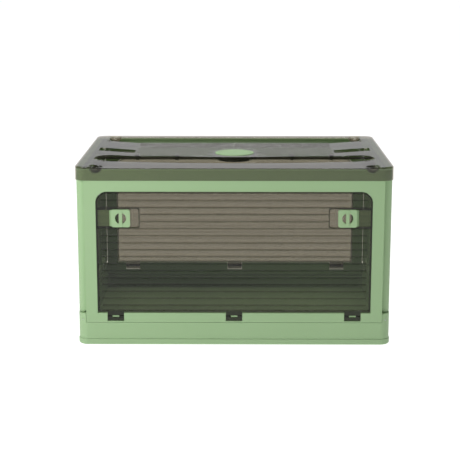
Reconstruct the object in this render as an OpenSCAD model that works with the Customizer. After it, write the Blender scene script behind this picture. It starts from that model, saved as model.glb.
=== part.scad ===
// Collapsible storage crate: a base tray, four walls that fold flat inwards, a drop-down
// door in each long side and a lift-off lid with a press button in its middle.
// X runs left to right, the front faces -Y, Z is up. The origin is on the floor under the
// middle of the base. Millimetres throughout.

/* [Crate] */
// Width over the side walls
body_w = 503.5; // [498:0.5:506]
// Depth over the front and back panels
body_d = 350; // [340:1:360]
// Height from the floor to the rim of the lid
crate_h = 292; // [290:1:296]
// Plan radius of the corners of the base
corner_r = 16; // [15:0.5:17]
// How far the foot band stands out from the base
band_out = 1; // [0.5:0.25:1.5]
// Height of the foot band
band_h = 9.5; // [8:0.5:12]
// Thickness of the floor of the base
floor_t = 3; // [2.5:0.5:4]

/* [Folding walls] */
// Thickness of the front and back panels
panel_t = 8; // [8:0.1:8.4]
// Thickness of the side walls
wall_t = 12.7; // [12.5:0.1:13]
// Bottom edge of the front panel
front_z = 37.4; // [37:0.1:38]
// Bottom edge of the side walls
side_z = 52.4; // [51:0.1:53]
// Space between two folded panels
fold_gap = 0.5; // [0.4:0.1:0.6]
// Radius of the hinge pins and rods
pin_r = 2; // [1.8:0.1:2.1]
// Number of hinge ears under each side wall
ear_count = 3; // [2:1:4]
// Width of one hinge ear
ear_w = 16; // [14:1:20]

/* [Doors] */
// Width of the door opening
window_w = 440; // [430:1:442]
// Top edge of the door opening
window_top = 252; // [250:1:253]
// Radius of the upper corners of the door opening
window_r = 18; // [16:1:20]
// Distance between two ribs of a door
rib_pitch = 11.5; // [11.5:0.1:11.6]
// Gap between two ribs
rib_gap = 2.5; // [2:0.5:4]
// Height of the ribs over the sheet
rib_up = 0.7; // [0.5:0.1:0.8]
// Height of the door hinge axis
door_axis_z = 47; // [46.9:0.1:47.1]
// Distance from the middle to the outer door knuckles
knuckle_x = 191; // [180:1:195]
// Width of one door knuckle
knuckle_w = 26; // [22:1:28]

/* [Latches] */
// Distance from the middle to the centre of a latch handle
latch_x = 180.5; // [180:0.5:181]
// Height of the centre of the latches
latch_z = 208.5; // [208:0.5:209]
// Width of a latch handle
latch_w = 30; // [28:1:30]
// Height of a latch handle
latch_h = 28.6; // [27:0.2:28.6]
// Radius of the finger hole in a latch handle
latch_hole_r = 8.8; // [7:0.2:9.5]
// Width of the grip bar across the finger hole
grip_w = 5.4; // [4:0.2:6]
// Travel of a latch towards the middle
latch_in = 11; // [8:1:11]
// Travel of a latch into the frame
latch_out = 2.5; // [2:0.5:4]

/* [Hand grips] */
// Length of the hand slot in a side wall
hand_w = 110; // [90:5:130]
// Height of the hand slot
hand_h = 30; // [26:1:32]
// Height of the centre of the hand slot
hand_z = 227; // [222:1:230]

/* [Lid] */
// How far the lid stands out over the side walls
lid_over = 1.25; // [1:0.25:2]
// Height of the skirt of the lid
lid_h = 22; // [21:1:23]
// Thickness of the top of the lid
lid_t = 2.2; // [2:0.1:2.4]
// Thickness of the skirt of the lid
skirt_t = 1.4; // [1.2:0.1:1.6]
// Depth of the ribbed platform under the rim
platform_drop = 4.5; // [4:0.1:5]
// Depth of the front trough under the rim
front_trough_drop = 14.4; // [13:0.1:14.4]
// Depth of the back trough under the rim
back_trough_drop = 10.4; // [9:0.1:10.6]
// Drop of the front edge of the lid under its corners
lip_drop = 2; // [1:0.1:2.2]
// Thickness of the ring inside the skirt
ring_t = 4; // [4:0.1:4.2]
// Radius of the mouth of a corner dimple
dimple_r = 11.2; // [10:0.1:11.4]
// Depth of a corner dimple
dimple_deep = 9.5; // [8:0.1:9.6]

/* [Button] */
// Radius of the press button
button_r = 33; // [30:0.5:33.5]
// How far the button stands over the platform
button_up = 1; // [0.5:0.1:1.5]
// Travel of the button
button_travel = 2.5; // [2:0.1:2.5]

/* [Hidden] */
$fn = 64;
green = [0.64, 0.77, 0.57];
smoke = [0.30, 0.30, 0.25, 0.6];
dark = [0.16, 0.17, 0.16];
steel = [0.75, 0.76, 0.78];

// Clearances: beside a moving part, beside a panel, around a running pin, and past a cut face.
gap = 0.4;
seam = 0.35;
fit = 0.05;
past = 1;

// Places of the walls.
half_w = body_w / 2;
half_d = body_d / 2;
panel_y = -half_d + panel_t / 2;
panel_in = -half_d + panel_t;
panel_x = half_w - wall_t - seam;
wall_in = half_w - wall_t;
wall_mid = half_w - wall_t / 2;
wall_end = -panel_in - 0.3;
wall_top = crate_h - lid_h - 0.3;
wall_round = 12;
tongue_h = 5.3;
tongue_t = 5;
tongue_inset = 2.95;
wall_skin = 3.2;
wall_frame = 15;
bays = 4;
slot_rim = 3;

// Hinge axes. The back panel folds first, the front panel over it, the side walls on top.
front_axis_z = front_z + panel_t / 2;
back_z = front_z - panel_t - fold_gap;
back_axis_z = back_z + panel_t / 2;
side_axis_z = side_z + wall_t / 2;

// Base.
rim_gap = 0.4;
side_rim = side_z - rim_gap;
floor_z = 2.5;
floor_top = floor_z + floor_t;
skin = 2.4;
rib_t = 2.4;
recess_x = 205;
recess_y = 148;
grid = 56;
grid_z = 0.5;
ear_r = 5.4;
pin_in = 9;
pin_out = half_w - 7;

// Doors. The sheet lies inside the thickness of the panel.
sill_z = door_axis_z + 6;
door_z0 = door_axis_z + 7.6;
door_y0 = -half_d + 1;
door_y1 = panel_in - 1;
sheet_y0 = door_y0 + 0.8;
sheet_t = 2.2;
flange_t = 2.4;
rib_rows = 17;
rib_end = window_w / 2 - 7.5;
knuckle_r = 3.4;
notch_z = door_axis_z - 7.5;
pin_reach = knuckle_w / 2 + gap + 5;
keeper = 0.8;

// Latches and the pockets that they slide in.
pocket_x0 = latch_x - latch_w / 2 - latch_in - 2.5;
pocket_h = latch_h + 2;
pocket_wall = 1.5;
bolt_h = latch_h - 2.6;
bolt_y0 = sheet_y0 + 1.7;
bolt_y1 = bolt_y0 + 1.8;
bolt_tip = window_w / 2 - 0.6;
bridge_x0 = latch_x + latch_w / 2 + latch_out + 0.5;

// Lid levels and plan.
lid_z = crate_h - lid_h;
lid_front = 3;
lid_w = body_w + 2 * lid_over;
lid_d = body_d + 2 * lid_front;
lid_r = corner_r + 2;
platform_z = crate_h - platform_drop;
platform_under = platform_z - lid_t;
platform_x = 234;
slope_x = 171;
trough_y0 = 113;
trough_y1 = 154.5;
trough_x = 227;
lip_x = 205;
dimple_x = 219;
dimple_y = 165;
dimple_ball = (dimple_r * dimple_r + dimple_deep * dimple_deep) / (2 * dimple_deep);

// Front trough: its near edge is a shallow parabola, its far edge a wave.
near_y = -128;
near_rise = 15;
near_x = 213;
far_y = -42;
wave = 6;
wave_x = 137;
far_x = 190;
end_x = 230;

// Button, housing and lock bars.
button_t = 4;
button_z = platform_z + button_up;
collar_r = button_r + 3.4;
collar_t = 1.4;
collar_z = button_z - button_t - button_travel - gap - collar_t;
cup_r = 29;
cup_t = 1.5;
cup_z = collar_z - 4.2;
stem_r = 5;
spring_r = 9;
spring_wire = 0.6;
spring_turns = 3;
bar_w = 12;
bar_t = 2;
bar_gap = 0.3;
bar_z = cup_z + cup_t + bar_gap;
bar_x0 = 14;
bar_x1 = 236;
guide_places = [95, 162];
guide_w = 6;
screw_ring = 40;
screw_r = 1.5;
lug_h = 3.8;

module box(x0, x1, y0, y1, z0, z1) {
    translate([x0, y0, z0]) cube([x1 - x0, y1 - y0, z1 - z0]);
}

module x_rod(x0, x1, y, z, r) {
    translate([x0, y, z]) rotate([0, 90, 0]) cylinder(r = r, h = x1 - x0);
}

module y_rod(y0, y1, x, z, r) {
    translate([x, y0, z]) rotate([-90, 0, 0]) cylinder(r = r, h = y1 - y0);
}

// Stands a flat outline, drawn as X and Z, up between two depths.
module upright(y0, y1) {
    translate([0, y1, 0]) rotate([90, 0, 0]) linear_extrude(y1 - y0) children();
}

// Lays a flat outline, drawn as Y and Z, across between two widths.
module sideways(x0, x1) {
    translate([x0, 0, 0]) rotate([90, 0, 90]) linear_extrude(x1 - x0) children();
}

module both_sides() {
    children();
    mirror([1, 0, 0]) children();
}

function corner_turn(sx, sy) = sx > 0 ? (sy > 0 ? 0 : 270) : (sy > 0 ? 90 : 180);

// Carries a section round a rectangle with round corners. The section's x is counted
// outwards from the centre of the corner arc and its y is the height.
module around(w, d, r) {
    for (sx = [-1, 1], sy = [-1, 1])
        translate([sx * (w / 2 - r), sy * (d / 2 - r), 0])
            rotate([0, 0, corner_turn(sx, sy)])
                rotate_extrude(angle = 90) children();
    for (turn = [0, 90, 180, 270]) {
        across = turn % 180 == 0 ? w : d;
        along = (turn % 180 == 0 ? d : w) - 2 * r;
        rotate([0, 0, turn])
            translate([across / 2 - r, along / 2, 0])
                rotate([90, 0, 0]) linear_extrude(along) children();
    }
}

// Section of a slab's edge, rounded at the top and the bottom.
module edge_section(r, z0, z1, top, bottom) {
    translate([0, z0 + bottom]) square([r, z1 - z0 - top - bottom]);
    if (top > 0) {
        translate([0, z1 - top]) square([r - top, top]);
        translate([r - top, z1 - top]) circle(top);
    }
    if (bottom > 0) {
        translate([0, z0]) square([r - bottom, bottom]);
        translate([r - bottom, z0 + bottom]) circle(bottom);
    }
}

module slab(w, d, r, z0, z1, top = 0, bottom = 0) {
    around(w, d, r) edge_section(r, z0, z1, top, bottom);
    box(-w / 2 + r, w / 2 - r, -d / 2 + r, d / 2 - r, z0, z1);
}

// Outline with round upper corners, as X and Z.
module arch(w, z0, z1, r) {
    translate([-w / 2, z0]) square([w, z1 - r - z0]);
    translate([-w / 2 + r, z0]) square([w - 2 * r, z1 - z0]);
    for (side = [-1, 1]) translate([side * (w / 2 - r), z1 - r]) circle(r);
}

// Rectangle with four round corners, centred.
module round_rect(w, h, r) {
    square([w - 2 * r, h], center = true);
    square([w, h - 2 * r], center = true);
    for (sx = [-1, 1], sy = [-1, 1])
        translate([sx * (w / 2 - r), sy * (h / 2 - r)]) circle(r);
}

module pill(half, z0, z1) {
    r = (z1 - z0) / 2;
    translate([-half + r, z0]) square([2 * (half - r), z1 - z0]);
    for (side = [-1, 1]) translate([side * (half - r), z0 + r]) circle(r);
}

// ---- Base ----

function ear_y(i) = (i - (ear_count - 1) / 2) * (body_d - 130) / (ear_count - 1);

module ear(y) {
    box(wall_mid - ear_r / 2, wall_mid + ear_r + 0.3, y - ear_w / 2, y + ear_w / 2,
        side_rim - past, side_axis_z);
    y_rod(y - ear_w / 2, y + ear_w / 2, wall_mid, side_axis_z, ear_r);
}

module base_shell() {
    slab(body_w + 2 * band_out, body_d + 2 * band_out, corner_r + band_out, 0, band_h, 0.6, 2.5);
    slab(body_w, body_d, corner_r, band_h - past, side_rim, 0.8, 0);
    both_sides() for (i = [0 : ear_count - 1]) ear(ear_y(i));
}

// Hollows of the tray: the inside, the backs of the rims and the underside.
module base_hollows() {
    box(-wall_in, wall_in, panel_in, -panel_in, floor_top, side_z);
    box(-panel_x + 3, panel_x - 3, -half_d + skin, 0, floor_top, front_z - 4);
    box(-panel_x + 3, panel_x - 3, 0, half_d - skin, floor_top, back_z - 4);
    both_sides()
        box(wall_in + skin, half_w - skin, -half_d + 16, half_d - 16, -past, side_rim - skin);
    box(-recess_x, recess_x, -recess_y, recess_y, -past, floor_z);
}

module base_ribs() {
    x1 = recess_x + past;
    y1 = recess_y + past;
    for (i = [-3 : 3])
        box(i * grid - rib_t / 2, i * grid + rib_t / 2, -y1, y1, grid_z, floor_z + past);
    for (i = [-2 : 2])
        box(-x1, x1, i * grid - rib_t / 2, i * grid + rib_t / 2, grid_z, floor_z + past);
}

module base_tray() color(green) {
    difference() {
        base_shell();
        base_hollows();
        box(-panel_x - gap, panel_x + gap, -half_d - 2, panel_in + past, front_z - rim_gap, crate_h);
        box(-panel_x - gap, panel_x + gap, -panel_in - past, half_d + 2, back_z - rim_gap, crate_h);
        both_sides() {
            x_rod(panel_x, pin_out, panel_y, front_axis_z, pin_r);
            x_rod(panel_x, pin_out, -panel_y, back_axis_z, pin_r);
            y_rod(-half_d, half_d, wall_mid, side_axis_z, pin_r);
        }
    }
    base_ribs();
}

module pivot_pins(y, z) {
    both_sides() x_rod(panel_x - pin_in, pin_out, y, z, pin_r);
}

module front_pivot_pins() color(steel) pivot_pins(panel_y, front_axis_z);

module back_pivot_pins() color(steel) pivot_pins(-panel_y, back_axis_z);

module hinge_rod() {
    y_rod(-wall_end + 6, wall_end - 6, wall_mid, side_axis_z, pin_r);
}

module left_hinge_rod() color(steel) mirror([1, 0, 0]) hinge_rod();

module right_hinge_rod() color(steel) hinge_rod();

// ---- Front and back panels ----

// A panel round its door opening. Its lower inner edge is round about the fold axis.
module panel_frame(z0) {
    axis_z = z0 + panel_t / 2;
    difference() {
        union() {
            box(-panel_x, panel_x, -half_d, panel_in, axis_z, wall_top);
            box(-panel_x, panel_x, -half_d, panel_y, z0, axis_z);
            x_rod(-panel_x, panel_x, panel_y, axis_z, panel_t / 2);
            box(-panel_x + 8, panel_x - 8, panel_in - tongue_t, panel_in, wall_top - past,
                wall_top + tongue_h);
        }
        upright(-half_d - past, panel_in + past) arch(window_w, sill_z, window_top, window_r);
        for (x = [-knuckle_x, 0, knuckle_x]) {
            half = knuckle_w / 2 + gap;
            box(x - half, x + half, -half_d - past, panel_in + past, notch_z, sill_z + past);
            x_rod(x - pin_reach, x + pin_reach, panel_y, door_axis_z, pin_r);
        }
        both_sides() {
            box(window_w / 2 - past, bolt_tip + latch_out + 1.5, bolt_y0 - 0.5, bolt_y1 + 0.5,
                latch_z - bolt_h / 2 - keeper, latch_z + bolt_h / 2 + keeper);
            x_rod(panel_x - pin_in - 0.5, panel_x + past, panel_y, axis_z, pin_r + fit);
        }
    }
}

module door_ribs() {
    for (row = [0 : rib_rows - 1]) {
        z0 = sill_z + 1 + row * rib_pitch + rib_gap / 2;
        z1 = z0 + rib_pitch - rib_gap;
        beside = z1 > latch_z - pocket_h / 2 - pocket_wall
            && z0 < latch_z + pocket_h / 2 + pocket_wall;
        end = beside ? pocket_x0 - 5 : row == rib_rows - 1 ? rib_end - 8 : rib_end;
        upright(sheet_y0 - rib_up, sheet_y0 + 0.2)
            pill(end, row == 0 ? door_z0 + flange_t + 0.4 : z0, z1);
    }
}

module knuckle(x) {
    half = knuckle_w / 2;
    x_rod(x - half, x + half, panel_y, door_axis_z, knuckle_r);
    box(x - half, x + half, door_y0, panel_y + 1, door_axis_z, door_z0 + past);
    box(x - half, x + half, door_y0, panel_y - 0.6, door_axis_z - 6.3, door_axis_z);
}

// The tub that holds a latch, closed behind it and bridged in front of its bolt.
module pocket_tub() {
    x1 = window_w / 2 - gap;
    w = x1 - pocket_x0 + pocket_wall;
    upright(sheet_y0, door_y1 - 0.2)
        translate([x1 - w / 2, latch_z]) round_rect(w, pocket_h + 2 * pocket_wall, 3);
}

module pocket_hollow() {
    x1 = window_w / 2 + past;
    z0 = latch_z - pocket_h / 2;
    box(pocket_x0, x1, bolt_y0 - 0.3, bolt_y1 + 0.3, z0, z0 + pocket_h);
    upright(door_y0 - past, bolt_y0)
        translate([(pocket_x0 + bridge_x0) / 2, latch_z])
            round_rect(bridge_x0 - pocket_x0, pocket_h, 4);
}

module door() {
    w = window_w - 2 * gap;
    top = window_top - 0.8;
    difference() {
        union() {
            upright(sheet_y0, sheet_y0 + sheet_t) arch(w, door_z0, top, window_r - gap);
            upright(door_y0, door_y1) difference() {
                arch(w, door_z0, top, window_r - gap);
                arch(w - 2 * flange_t, door_z0 + flange_t, top - flange_t, window_r - gap - flange_t);
            }
            door_ribs();
            both_sides() pocket_tub();
            for (x = [-knuckle_x, 0, knuckle_x]) knuckle(x);
        }
        both_sides() pocket_hollow();
        for (x = [-knuckle_x, 0, knuckle_x]) {
            x_rod(x - knuckle_w, x + knuckle_w, panel_y, door_axis_z, pin_r + fit);
            box(x - 5.5, x + 5.5, -half_d, panel_y, door_axis_z - 1.9, door_axis_z + 1.9);
        }
    }
}

module door_hinge_pins() {
    for (x = [-knuckle_x, 0, knuckle_x])
        x_rod(x - pin_reach, x + pin_reach, panel_y, door_axis_z, pin_r);
}

// A latch: a square handle with a barred finger hole, and a flat bolt beside it.
module latch() {
    face_y = -half_d + 0.6;
    difference() {
        upright(face_y, bolt_y1) translate([latch_x, latch_z]) round_rect(latch_w, latch_h, 3.5);
        upright(face_y - past, bolt_y1 + past) translate([latch_x, latch_z]) circle(latch_hole_r);
    }
    upright(-half_d, bolt_y1) translate([latch_x, latch_z]) round_rect(grip_w, latch_h - 1, 1);
    box(latch_x + latch_w / 2 - 4, bolt_tip, bolt_y0, bolt_y1, latch_z - bolt_h / 2, latch_z + bolt_h / 2);
}

module to_back() rotate([0, 0, 180]) children();

module front_frame() color(green) panel_frame(front_z);

module back_frame() color(green) to_back() panel_frame(back_z);

module front_door() color(smoke) door();

module back_door() color(smoke) to_back() door();

module front_door_hinge_pins() color(green) door_hinge_pins();

module back_door_hinge_pins() color(green) to_back() door_hinge_pins();

module front_left_latch() color(green) mirror([1, 0, 0]) latch();

module front_right_latch() color(green) latch();

module back_left_latch() color(green) to_back() latch();

module back_right_latch() color(green) to_back() mirror([1, 0, 0]) latch();

// ---- Side walls ----

module wall_plan() {
    intersection() {
        round_rect(body_w, 2 * wall_end, wall_round);
        translate([wall_in, -wall_end]) square([wall_t, 2 * wall_end]);
    }
}

module hand_slot(grow) {
    sideways(wall_in - past, half_w + past)
        translate([0, hand_z]) round_rect(hand_w + 2 * grow, hand_h + 2 * grow, hand_h / 2 + grow - 0.5);
}

// The wall is a skin with a frame and stiffening ribs on its inner side.
module wall_pocket() {
    z0 = side_axis_z + 12;
    z1 = wall_top - 9;
    bay = 2 * (wall_end - wall_frame) / bays;
    difference() {
        for (i = [0 : bays - 1])
            box(wall_in - past, half_w - wall_skin, -wall_end + wall_frame + i * bay + rib_t / 2,
                -wall_end + wall_frame + (i + 1) * bay - rib_t / 2, z0, z1);
        hand_slot(slot_rim);
    }
}

module side_wall() {
    difference() {
        union() {
            translate([0, 0, side_axis_z]) linear_extrude(wall_top - side_axis_z) wall_plan();
            intersection() {
                union() {
                    y_rod(-wall_end, wall_end, wall_mid, side_axis_z, wall_t / 2);
                    box(wall_mid, half_w, -wall_end, wall_end, side_z, side_axis_z);
                }
                translate([0, 0, side_z]) linear_extrude(wall_t) wall_plan();
            }
            box(wall_in + tongue_inset, wall_in + tongue_inset + tongue_t, -wall_end + 16, wall_end - 16,
                wall_top - past, wall_top + tongue_h);
        }
        wall_pocket();
        hand_slot(0);
        for (i = [0 : ear_count - 1]) {
            y0 = ear_y(i) - ear_w / 2 - gap;
            y1 = ear_y(i) + ear_w / 2 + gap;
            y_rod(y0, y1, wall_mid, side_axis_z, ear_r + 1.6);
            box(wall_in - past, half_w + past, y0, y1, side_z - past, side_axis_z);
        }
        y_rod(-wall_end + 5.5, wall_end + past, wall_mid, side_axis_z, pin_r + fit);
    }
}

module left_wall() color(green) mirror([1, 0, 0]) side_wall();

module right_wall() color(green) side_wall();

// ---- Lid ----

function near_edge(x) = near_y + near_rise * pow(x / 180, 2);
function far_edge(x) = far_y - wave * cos(180 * x / wave_x);
near_r = end_x - near_x;
near_cy = near_edge(near_x) + near_r;
far_r = end_x - far_x;
far_cy = far_edge(far_x) - far_r;

function arc(cx, cy, r, a0, a1, steps) =
    [for (i = [0 : steps]) let (a = a0 + (a1 - a0) * i / steps) [cx + r * cos(a), cy + r * sin(a)]];

// Outline of the front trough, grown by a margin on every side.
function trough_outline(m) = concat(
    [for (i = [-12 : 12]) let (x = near_x * i / 12) [x, near_edge(x) - m]],
    arc(near_x, near_cy, near_r + m, -80, 0, 6),
    arc(far_x, far_cy, far_r + m, 0, 80, 8),
    [for (i = [16 : -1 : -16]) let (x = far_x * i / 16) [x, far_edge(x) + m]],
    arc(-far_x, far_cy, far_r + m, 100, 180, 8),
    arc(-near_x, near_cy, near_r + m, 180, 260, 6));

// A flat-bottomed dip with sloping ends, as X and Z.
module dip(flat_x, end_x, z0, z1) {
    polygon([[-end_x, crate_h + past], [-end_x, z1], [-flat_x, z0], [flat_x, z0], [end_x, z1],
             [end_x, crate_h + past]]);
}

// Everything that is sunk into the top of the lid, grown sideways and down by a thickness.
module lid_hollows(m) {
    upright(-95 - m, trough_y0 + m) dip(slope_x, platform_x + m, platform_z - m, crate_h - m);
    upright(-half_d - 10, near_edge(lip_x) + 1 + m)
        dip(lip_x, lip_x + 20 + m, crate_h - lip_drop - m, crate_h - m);
    translate([0, 0, crate_h - front_trough_drop - m])
        linear_extrude(front_trough_drop + m + past) polygon(trough_outline(m));
    translate([0, (trough_y0 + trough_y1) / 2, crate_h - back_trough_drop - m])
        linear_extrude(back_trough_drop + m + past)
            round_rect(2 * (trough_x + m), trough_y1 - trough_y0 + 2 * m, 4 + m);
    for (sx = [-1, 1], sy = [-1, 1])
        translate([sx * dimple_x, sy * dimple_y, crate_h - dimple_deep + dimple_ball])
            sphere(dimple_ball + m * 0.6);
    both_sides() box(slope_x - m, platform_x - 2 + m, -3 - m, 30 + m, platform_z - 3 - m, crate_h + past);
}

module platform_ribs() {
    difference() {
        for (i = [0 : 12])
            upright(-30 + rib_pitch * i, -30 + rib_pitch * i + 6)
                translate([0, platform_z]) square([2 * slope_x - 6, 0.9], center = true);
        translate([0, 0, platform_z - past]) cylinder(r = button_r + 15, h = 3);
    }
}

module lid_cover() color(smoke) {
    difference() {
        slab(lid_w, lid_d, lid_r, lid_z, crate_h, 2.5, 0);
        lid_hollows(0);
        difference() {
            slab(lid_w - 2 * skirt_t, lid_d - 2 * skirt_t, lid_r - skirt_t, lid_z - past,
                 crate_h - lid_t, 1, 0);
            lid_hollows(lid_t);
        }
        translate([0, 0, platform_under - past]) cylinder(r = button_r + 0.6, h = 10);
        both_sides() box(37.5, 47, -3, 3, platform_under - past, crate_h);
        for (turn = [45 : 90 : 315])
            rotate([0, 0, turn])
                translate([screw_ring, 0, platform_under - past])
                    cylinder(r = screw_r, h = past + 1.4);
    }
    platform_ribs();
    both_sides() for (x = [215, 224]) box(x, x + 1.2, -3.2, 30.2, platform_z - 3.2, platform_z + 1.5);
}

module lid_ring() color(green) {
    w = lid_w - 2 * skirt_t - 0.4;
    d = lid_d - 2 * skirt_t - 0.4;
    r = lid_r - skirt_t - 0.2;
    top = crate_h - lip_drop - lid_t - 0.4;
    difference() {
        around(w, d, r) {
            translate([r - ring_t, lid_z]) square([ring_t, top - lid_z]);
            translate([r - ring_t - 5, top - 2.2]) square([ring_t + 5, 2.2]);
        }
        for (x = [-dimple_x, dimple_x]) y_rod(-d, d, x, crate_h, dimple_deep + 1.5);
        for (sx = [-1, 1], sy = [-1, 1])
            translate([sx * dimple_x, sy * dimple_y, crate_h - dimple_deep + dimple_ball])
                sphere(dimple_ball + lid_t * 0.6 + 0.5);
    }
}

// ---- Button and lock bars ----

module button_housing() color(dark) {
    difference() {
        union() {
            translate([0, 0, collar_z])
                cylinder(r = collar_r, h = platform_under - 0.2 - collar_z);
            translate([0, 0, cup_z]) cylinder(r = cup_r, h = 5.6);
            for (turn = [45 : 90 : 315])
                rotate([0, 0, turn]) translate([screw_ring, 0, platform_under - lug_h])
                    cylinder(r = 4.6, h = lug_h);
        }
        translate([0, 0, collar_z + collar_t]) cylinder(r = button_r + 0.8, h = 10);
        difference() {
            translate([0, 0, cup_z + cup_t]) cylinder(r = cup_r - cup_t, h = 10);
            translate([0, 0, cup_z]) cylinder(r = stem_r + 2, h = 5);
        }
        translate([0, 0, cup_z - past]) cylinder(r = stem_r + fit, h = 10);
        box(-cup_r - past, -stem_r - 2.5, -bar_w / 2 - gap, bar_w / 2 + gap, bar_z - bar_gap,
            bar_z + bar_t + bar_gap);
        box(stem_r + 2.5, cup_r + past, -bar_w / 2 - gap, bar_w / 2 + gap, bar_z - bar_gap,
            bar_z + bar_t + bar_gap);
        for (turn = [45 : 90 : 315])
            rotate([0, 0, turn]) translate([screw_ring, 0, cup_z])
                cylinder(r = screw_r + 0.1, h = 20);
    }
}

module housing_screws() color(steel) {
    head_h = 1.8;
    head_z = platform_under - lug_h - head_h;
    for (turn = [45 : 90 : 315])
        rotate([0, 0, turn]) translate([screw_ring, 0, 0]) {
            difference() {
                translate([0, 0, head_z]) cylinder(r = 2 * screw_r, h = head_h);
                translate([0, 0, head_z - past]) cylinder(r = 1.2, h = past + 1, $fn = 6);
            }
            translate([0, 0, platform_under - lug_h]) cylinder(r = screw_r, h = lug_h + 1.4);
        }
}

module lid_button() color(green) {
    rotate_extrude() difference() {
        union() {
            translate([0, button_z - button_t]) square([button_r, button_t - 1.2]);
            translate([0, button_z - 2]) square([button_r - 1.2, 2]);
            translate([button_r - 1.2, button_z - 1.2]) circle(1.2);
            translate([0, cup_z + 2]) square([stem_r, button_z - button_t - cup_z - 1]);
        }
        translate([button_r - 6, button_z]) circle(0.6);
    }
}

// Helix of round wire, ending flat on the housing and under the button.
spring_z0 = cup_z + cup_t + spring_wire;
spring_z1 = button_z - button_t - spring_wire;
spring_steps = 20 * spring_turns;
spring_sides = 8;

function spring_point(i, j) =
    let (a = 360 * spring_turns * i / spring_steps, b = 360 * j / spring_sides,
         r = spring_r + spring_wire * cos(b))
    [r * cos(a), r * sin(a),
     spring_z0 + (spring_z1 - spring_z0) * i / spring_steps + spring_wire * sin(b)];

module button_spring() color(steel)
    polyhedron(
        points = [for (i = [0 : spring_steps], j = [0 : spring_sides - 1]) spring_point(i, j)],
        faces = concat(
            [[for (j = [0 : spring_sides - 1]) j]],
            [for (i = [0 : spring_steps - 1], j = [0 : spring_sides - 1])
                let (k = (j + 1) % spring_sides, a = i * spring_sides, b = a + spring_sides)
                [a + j, b + j, b + k, a + k]],
            [[for (j = [spring_sides - 1 : -1 : 0]) spring_steps * spring_sides + j]]));

module lock_bar() {
    box(bar_x0, bar_x1, -bar_w / 2, bar_w / 2, bar_z, bar_z + bar_t);
}

module left_lock_bar() color(dark) mirror([1, 0, 0]) lock_bar();

module right_lock_bar() color(dark) lock_bar();

module lock_bar_guides() color(dark)
    both_sides() for (x = guide_places) difference() {
        box(x, x + guide_w, -bar_w / 2 - 2.4, bar_w / 2 + 2.4, bar_z - 1.9, platform_under);
        box(x - past, x + guide_w + past, -bar_w / 2 - gap, bar_w / 2 + gap, bar_z - bar_gap,
            bar_z + bar_t + bar_gap);
    }

base_tray();
front_pivot_pins();
back_pivot_pins();
left_hinge_rod();
right_hinge_rod();
front_frame();
front_door();
front_door_hinge_pins();
front_left_latch();
front_right_latch();
back_frame();
back_door();
back_door_hinge_pins();
back_left_latch();
back_right_latch();
left_wall();
right_wall();
lid_cover();
lid_ring();
button_housing();
housing_screws();
button_spring();
lid_button();
lock_bar_guides();
left_lock_bar();
right_lock_bar();
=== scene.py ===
"""Looks for the collapsible storage crate: moulded green plastic, clear smoky doors and lid."""

import math

import bpy
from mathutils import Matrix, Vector


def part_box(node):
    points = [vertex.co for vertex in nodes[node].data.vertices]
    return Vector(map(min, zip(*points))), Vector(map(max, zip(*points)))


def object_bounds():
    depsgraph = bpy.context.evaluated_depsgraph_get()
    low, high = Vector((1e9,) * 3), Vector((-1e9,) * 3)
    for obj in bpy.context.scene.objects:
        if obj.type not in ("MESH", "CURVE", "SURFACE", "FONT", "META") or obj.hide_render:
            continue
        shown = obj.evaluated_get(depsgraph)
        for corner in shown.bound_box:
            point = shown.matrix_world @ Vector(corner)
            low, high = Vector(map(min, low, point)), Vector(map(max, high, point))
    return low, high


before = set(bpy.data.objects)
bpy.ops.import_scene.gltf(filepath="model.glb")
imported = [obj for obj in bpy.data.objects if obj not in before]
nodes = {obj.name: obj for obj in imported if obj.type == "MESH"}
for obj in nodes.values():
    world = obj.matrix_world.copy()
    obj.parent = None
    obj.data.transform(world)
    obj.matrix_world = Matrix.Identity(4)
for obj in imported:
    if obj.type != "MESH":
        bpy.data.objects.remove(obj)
cad_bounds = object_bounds()

SMOKY = ("front_door", "back_door", "lid_cover")
STEEL = ("front_pivot_pins", "back_pivot_pins", "left_hinge_rod", "right_hinge_rod",
         "housing_screws", "button_spring")
DARK = ("button_housing", "lock_bar_guides", "left_lock_bar", "right_lock_bar")
GREEN = tuple(n for n in nodes if n not in SMOKY + STEEL + DARK)

WHITE = (1, 1, 1, 1)
UPRIGHT = 0.5  # a face is upright if the Z of its normal is below this

# ---- Sizes, in metres ----

# Doors: the sheet of ribs, the painted shade line under each rib, and the rim, which is painted
# shade too.
RIB_PITCH = 0.0115
GROOVE = 0.0020
GROOVE_DROP = 0.0016  # the first groove starts this far under the sheet's lower edge
SHEET_RISE = 0.0139  # from the lowest knuckle up to the sheet's lower edge
FOOT_BAND = 0.0012
RIB_INSET = 0.0072  # the ribs stop this far inside the door's side edge
RIM_WIDTH = 0.0024
RIM_RADIUS = 0.0176

# Doors: the rounded tub that each latch slides in.
TUB_REACH = 0.0142  # past the latch, towards the middle of the door
TUB_PAST_EDGE = 0.004
TUB_MARGIN = 0.0018  # above and below the latch
TUB_RADIUS = 0.0045
TUB_LINE = 0.0009  # half the width of its outline

# Lid: depths are measured down from its top.
RIB_DEPTH = 0.00428
RIB_HALF = 0.00028
BACK_TROUGH = (0.150, 0.160)
TROUGH_DEPTH = 0.008

# ---- Lights and camera ----

LAMP_HELP = 0.45  # share of the tint that light from the lamps is spared
WORLD_STRENGTH = 0.18
FLOOR_SIZE = 80
FLOOR_GAP = 0.0002
FLOOR_GREY = (0.30, 0.30, 0.30, 1)
FLOOR_GLOW = 0.95
CAMERA_PLACE = (0.0074, -2.1356, 0.6157)
CAMERA_LENS = 98.71
CAMERA_SENSOR = 36.0
CAMERA_PITCH = math.radians(12.243)  # downwards
CAMERA_YAW = -0.0071
TRANSPARENT_BOUNCES = 48  # a look through the crate passes many walls
BOUNCES = 16


# ---- Node helpers ----

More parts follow.
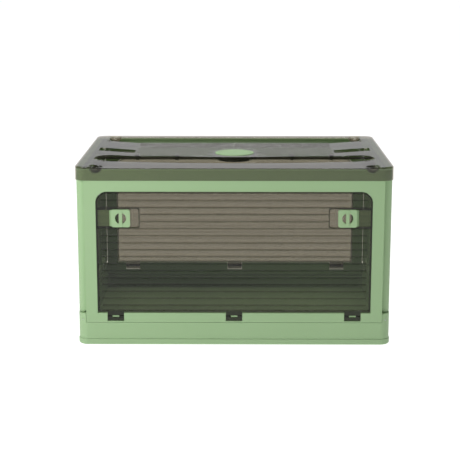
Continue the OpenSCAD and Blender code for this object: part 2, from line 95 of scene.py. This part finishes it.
class Tree:
    """A material's node tree, with short ways to add and join nodes."""

    def __init__(self, name):
        self.material = bpy.data.materials.new(name)
        self.material.use_nodes = True
        self.tree = self.material.node_tree
        self.tree.nodes.clear()
        self.out = self.tree.nodes.new("ShaderNodeOutputMaterial")

    def add(self, kind, **sockets):
        node = self.tree.nodes.new("ShaderNode" + kind)
        for key, value in sockets.items():
            self.set(node.inputs[key.replace("_", " ")], value)
        return node

    def set(self, socket, value):
        if isinstance(value, bpy.types.NodeSocket):
            self.tree.links.new(value, socket)
        else:
            socket.default_value = value

    def math(self, operation, a, b=0.0):
        node = self.tree.nodes.new("ShaderNodeMath")
        node.operation = operation
        self.set(node.inputs[0], a)
        self.set(node.inputs[1], b)
        return node.outputs[0]

    def mix_colour(self, factor, a, b):
        node = self.tree.nodes.new("ShaderNodeMix")
        node.data_type = "RGBA"
        self.set(node.inputs[0], factor)
        self.set(node.inputs[6], a)
        self.set(node.inputs[7], b)
        return node.outputs[2]

    def mix_shader(self, factor, a, b):
        node = self.tree.nodes.new("ShaderNodeMixShader")
        self.set(node.inputs[0], factor)
        self.tree.links.new(a, node.inputs[1])
        self.tree.links.new(b, node.inputs[2])
        return node.outputs[0]

    def coords(self):
        """Object coordinates, which are the crate's own frame in metres."""
        return self.tree.nodes.new("ShaderNodeTexCoord").outputs["Object"]

    def noise(self, scale, detail=2.0, roughness=0.5):
        node = self.add("TexNoise", Vector=self.coords(), Scale=scale, Detail=detail,
                        Roughness=roughness)
        return node.outputs["Fac"]

    def spread(self, value, low, high):
        """Maps a 0 to 1 value to low to high."""
        node = self.tree.nodes.new("ShaderNodeMapRange")
        self.set(node.inputs["Value"], value)
        node.inputs["To Min"].default_value = low
        node.inputs["To Max"].default_value = high
        return node.outputs[0]

    def bump(self, height, distance, edge=0.0):
        """A bumped normal, with sharp edges rounded by edge."""
        node = self.add("Bump", Height=height, Distance=distance, Strength=1.0)
        if edge > 0:
            round_edge = self.tree.nodes.new("ShaderNodeBevel")
            round_edge.samples = 4
            round_edge.inputs["Radius"].default_value = edge
            self.tree.links.new(round_edge.outputs[0], node.inputs["Normal"])
        return node.outputs[0]

    def rounded(self, x, y, mid_x, mid_y, half_x, half_y, radius):
        """Distance outside a rounded rectangle, which is negative inside it."""
        sides = []
        for value, middle, half in ((x, mid_x, half_x), (y, mid_y, half_y)):
            off = self.math("ABSOLUTE", self.math("SUBTRACT", value, middle))
            sides.append(self.math("MAXIMUM", self.math("SUBTRACT", off, half - radius), 0.0))
        squares = [self.math("MULTIPLY", side, side) for side in sides]
        reach = self.math("SQRT", self.math("ADD", squares[0], squares[1]))
        return self.math("SUBTRACT", reach, radius)

    def finish(self, shader):
        self.tree.links.new(shader, self.out.inputs["Surface"])
        return self.material


# ---- Materials ----

def green_plastic():
    """Moulded green polypropylene: matt, with a fine spark-eroded texture and faint clouding."""
    t = Tree("moulded_green")
    darker, lighter = (0.300, 0.455, 0.236, 1), (0.322, 0.480, 0.256, 1)
    colour = t.mix_colour(t.noise(9.0, 3.0), darker, lighter)
    grain = t.noise(2600.0, 2.0, 0.6)
    body = t.add("BsdfPrincipled", Base_Color=colour, Roughness=t.spread(grain, 0.42, 0.58),
                 Normal=t.bump(grain, 0.00012, edge=0.0007))
    body.inputs["IOR"].default_value = 1.49
    body.inputs["Subsurface Weight"].default_value = 0.08
    body.inputs["Subsurface Radius"].default_value = (0.004, 0.006, 0.003)
    return t.finish(body.outputs[0])


def smoky_shader(t, clear, ior, ripple, haze, gloss=1.0):
    """Tinted clear plastic: light goes straight through and the front of each wall shines."""
    normal = t.bump(t.noise(28.0, 2.0), ripple, edge=0.0006)
    # Lamps reach the inside more easily than a straight look does, as bent light would.
    lit = t.tree.nodes.new("ShaderNodeLightPath").outputs["Is Shadow Ray"]
    clear = t.mix_colour(t.math("MULTIPLY", lit, LAMP_HELP), clear, WHITE)
    through = t.add("BsdfTransparent", Color=clear)
    shine = t.add("BsdfGlossy", Roughness=t.spread(t.noise(300.0), 0.06, 0.11), Normal=normal)
    shine.inputs["Color"].default_value = WHITE
    milk = t.add("BsdfDiffuse", Normal=normal)
    milk.inputs["Color"].default_value = (0.30, 0.28, 0.22, 1)
    fresnel = t.add("Fresnel", IOR=ior, Normal=normal)
    backfacing = t.tree.nodes.new("ShaderNodeNewGeometry").outputs["Backfacing"]
    front = t.math("SUBTRACT", 1.0, backfacing)
    body = t.mix_shader(t.math("MULTIPLY", front, haze), through.outputs[0], milk.outputs[0])
    shining = t.math("MULTIPLY", t.math("MULTIPLY", fresnel.outputs[0], front), gloss)
    return t.mix_shader(shining, body, shine.outputs[0])


def door_plastic(name, groove_shade_tint):
    """Smoky clear door, with painted shade: dark lines between its ribs, a dark rim and dark
    knuckles.
    """
    t = Tree("smoky_" + name)
    place = t.add("SeparateXYZ", Vector=t.coords())
    high = place.outputs["Z"]
    side = t.math("ABSOLUTE", place.outputs["X"])
    low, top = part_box(name)
    half = top[0]
    sheet_low = low[2] + SHEET_RISE
    # Painted shade: each rib is a little clearer towards its lower edge, its groove is painted
    # dark.
    rows = t.math("DIVIDE", t.math("SUBTRACT", high, sheet_low - GROOVE_DROP), RIB_PITCH)
    up = t.math("FRACT", rows)
    groove = t.math("LESS_THAN", up, GROOVE / RIB_PITCH)
    inside = t.math("LESS_THAN", side, half - RIB_INSET)
    # The tub of each latch: its wall, seen edge on, is painted shade: a dark line round a smooth
    # field.
    latch_low, latch_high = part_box(name.replace("door", "right_latch"))
    inner = min(abs(latch_low[0]), abs(latch_high[0])) - TUB_REACH
    outer = half + TUB_PAST_EDGE
    tub = t.rounded(side, high, (inner + outer) / 2, (latch_low[2] + latch_high[2]) / 2,
                    (outer - inner) / 2, (latch_high[2] - latch_low[2]) / 2 + TUB_MARGIN,
                    TUB_RADIUS)
    tub_shade_line = t.math("LESS_THAN", t.math("ABSOLUTE", tub), TUB_LINE)
    outside_tub = t.math("GREATER_THAN", tub, 0.0)
    # Painted shade across each rib, and darker painted shade in the groove under it.
    rib = t.mix_colour(up, (0.640, 0.617, 0.566, 1), (0.596, 0.586, 0.540, 1))
    painted_groove = t.math("MULTIPLY", t.math("MULTIPLY", groove, inside), outside_tub)
    clear = t.mix_colour(painted_groove, rib, groove_shade_tint)
    # Painted shade: the rim and the band at the sheet's lower edge are dark for the shadow gap and
    # edge-on plastic.
    middle = (top[2] + low[2]) / 2
    rim = t.rounded(side, high, 0.0, middle, half, top[2] - middle, RIM_RADIUS)
    foot_shade = t.math("LESS_THAN", high, sheet_low + FOOT_BAND)
    edge = t.math("MAXIMUM", t.math("GREATER_THAN", rim, -RIM_WIDTH),
                  t.math("MAXIMUM", foot_shade, tub_shade_line))
    # Painted shade colour for the rim, the lower band with the knuckles, and the tub outline.
    clear = t.mix_colour(edge, clear, (0.30, 0.30, 0.25, 1))
    return t.finish(smoky_shader(t, clear, 1.36, 0.0002, 0.02))


def lid_plastic():
    """Smoky clear lid: its upright walls and ribs are clearer, and its trough floors shine less."""
    t = Tree("smoky_lid")
    normal = t.tree.nodes.new("ShaderNodeNewGeometry").outputs["Normal"]
    flat = t.math("ABSOLUTE", t.add("SeparateXYZ", Vector=normal).outputs["Z"])
    place = t.add("SeparateXYZ", Vector=t.coords())
    high = place.outputs["Z"]
    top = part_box("lid_cover")[1][2]
    clear = t.mix_colour(flat, (0.700, 0.684, 0.635, 1), (0.585, 0.570, 0.515, 1))
    upright = t.math("LESS_THAN", flat, UPRIGHT)
    from_ribs = t.math("ABSOLUTE", t.math("SUBTRACT", high, top - RIB_DEPTH))
    on_platform = t.math("LESS_THAN", from_ribs, RIB_HALF)
    clear = t.mix_colour(t.math("MULTIPLY", on_platform, upright), clear, (0.93, 0.93, 0.92, 1))
    # The walls of the back trough let more of the green ring show.
    depth = place.outputs["Y"]
    back_trough = t.math("MULTIPLY", t.math("GREATER_THAN", depth, BACK_TROUGH[0]),
                         t.math("LESS_THAN", depth, BACK_TROUGH[1]))
    clear = t.mix_colour(t.math("MULTIPLY", back_trough, upright), clear, (0.88, 0.88, 0.86, 1))
    deep = t.math("LESS_THAN", high, top - TROUGH_DEPTH)
    trough_floor = t.math("MULTIPLY", deep, t.math("GREATER_THAN", flat, UPRIGHT))
    gloss = t.spread(trough_floor, 1.0, 0.35)
    return t.finish(smoky_shader(t, clear, 1.45, 0.0004, 0.03, gloss))


def dark_plastic():
    """Near-black moulded plastic for the parts of the lock."""
    t = Tree("dark_plastic")
    grain = t.noise(1800.0)
    colour = t.mix_colour(t.noise(12.0), (0.020, 0.022, 0.020, 1), (0.030, 0.032, 0.029, 1))
    body = t.add("BsdfPrincipled", Base_Color=colour, Roughness=t.spread(grain, 0.32, 0.45),
                 Normal=t.bump(grain, 0.0001, edge=0.0004))
    return t.finish(body.outputs[0])


def drawn_steel():
    """Bright drawn wire and pins, with fine streaks."""
    t = Tree("drawn_steel")
    streak = t.noise(900.0, 3.0)
    colour = t.mix_colour(streak, (0.52, 0.53, 0.55, 1), (0.66, 0.67, 0.69, 1))
    body = t.add("BsdfPrincipled", Base_Color=colour, Roughness=t.spread(streak, 0.20, 0.36),
                 Normal=t.bump(streak, 0.00002))
    body.inputs["Metallic"].default_value = 1.0
    return t.finish(body.outputs[0])


def paint(names, material):
    """Gives these CAD nodes one material."""
    for name in names:
        mesh = nodes[name].data
        mesh.materials.clear()
        mesh.materials.append(material)


# ---- Stage ----

def floor():
    """A pale plane just under the crate, with a glow of its own so that it renders white."""
    t = Tree("pale_floor")
    body = t.add("BsdfPrincipled", Roughness=0.9)
    body.inputs["Base Color"].default_value = FLOOR_GREY
    body.inputs["Emission Color"].default_value = WHITE
    body.inputs["Emission Strength"].default_value = FLOOR_GLOW
    bpy.ops.mesh.primitive_plane_add(size=FLOOR_SIZE)
    plane = bpy.context.object
    plane.name = "floor"
    plane.location.z = cad_bounds[0][2] - FLOOR_GAP
    plane.data.materials.append(t.finish(body.outputs[0]))


def world_light(strength):
    world = bpy.data.worlds.new("studio")
    world.use_nodes = True
    sky = world.node_tree.nodes["Background"]
    sky.inputs["Color"].default_value = WHITE
    sky.inputs["Strength"].default_value = strength
    bpy.context.scene.world = world


def soft_box(name, place, aim, size, power):
    """A rectangular lamp at place that faces aim, of power watts."""
    light = bpy.data.lights.new(name, "AREA")
    light.shape = "RECTANGLE"
    light.size, light.size_y = size
    light.energy = power
    lamp = bpy.data.objects.new(name, light)
    lamp.location = place
    lamp.rotation_euler = (Vector(aim) - Vector(place)).to_track_quat("-Z", "Y").to_euler()
    bpy.context.collection.objects.link(lamp)


def camera():
    data = bpy.data.cameras.new("camera")
    data.sensor_width = CAMERA_SENSOR
    data.lens = CAMERA_LENS
    cam = bpy.data.objects.new("camera", data)
    cam.location = CAMERA_PLACE
    level = math.cos(CAMERA_PITCH)
    ahead = Vector((math.sin(CAMERA_YAW) * level, math.cos(CAMERA_YAW) * level,
                    -math.sin(CAMERA_PITCH)))
    cam.rotation_euler = ahead.to_track_quat("-Z", "Y").to_euler()
    bpy.context.collection.objects.link(cam)
    bpy.context.scene.camera = cam


# ---- Scene ----

camera()
paint(GREEN, green_plastic())
# The last colour given to each door is the painted shade in the grooves between its ribs.
paint(("front_door",), door_plastic("front_door", (0.46, 0.44, 0.385, 1)))
paint(("back_door",), door_plastic("back_door", (0.56, 0.54, 0.49, 1)))
paint(("lid_cover",), lid_plastic())
paint(DARK, dark_plastic())
paint(STEEL, drawn_steel())
floor()
world_light(WORLD_STRENGTH)
soft_box("key", place=(-0.86, -0.86, 0.62), aim=(-0.1, -0.1, 0.15), size=(0.6, 0.6), power=7.2)
soft_box("back", place=(0.0, 3.0, 1.4), aim=(0, 0, 0.3), size=(5.0, 1.6), power=10)
soft_box("top", place=(0.0, 0.2, 2.2), aim=(0, 0.05, 0.2), size=(1.6, 0.9), power=32)
scene = bpy.context.scene
scene.view_settings.view_transform = "Standard"
scene.cycles.transparent_max_bounces = TRANSPARENT_BOUNCES
scene.cycles.max_bounces = BOUNCES
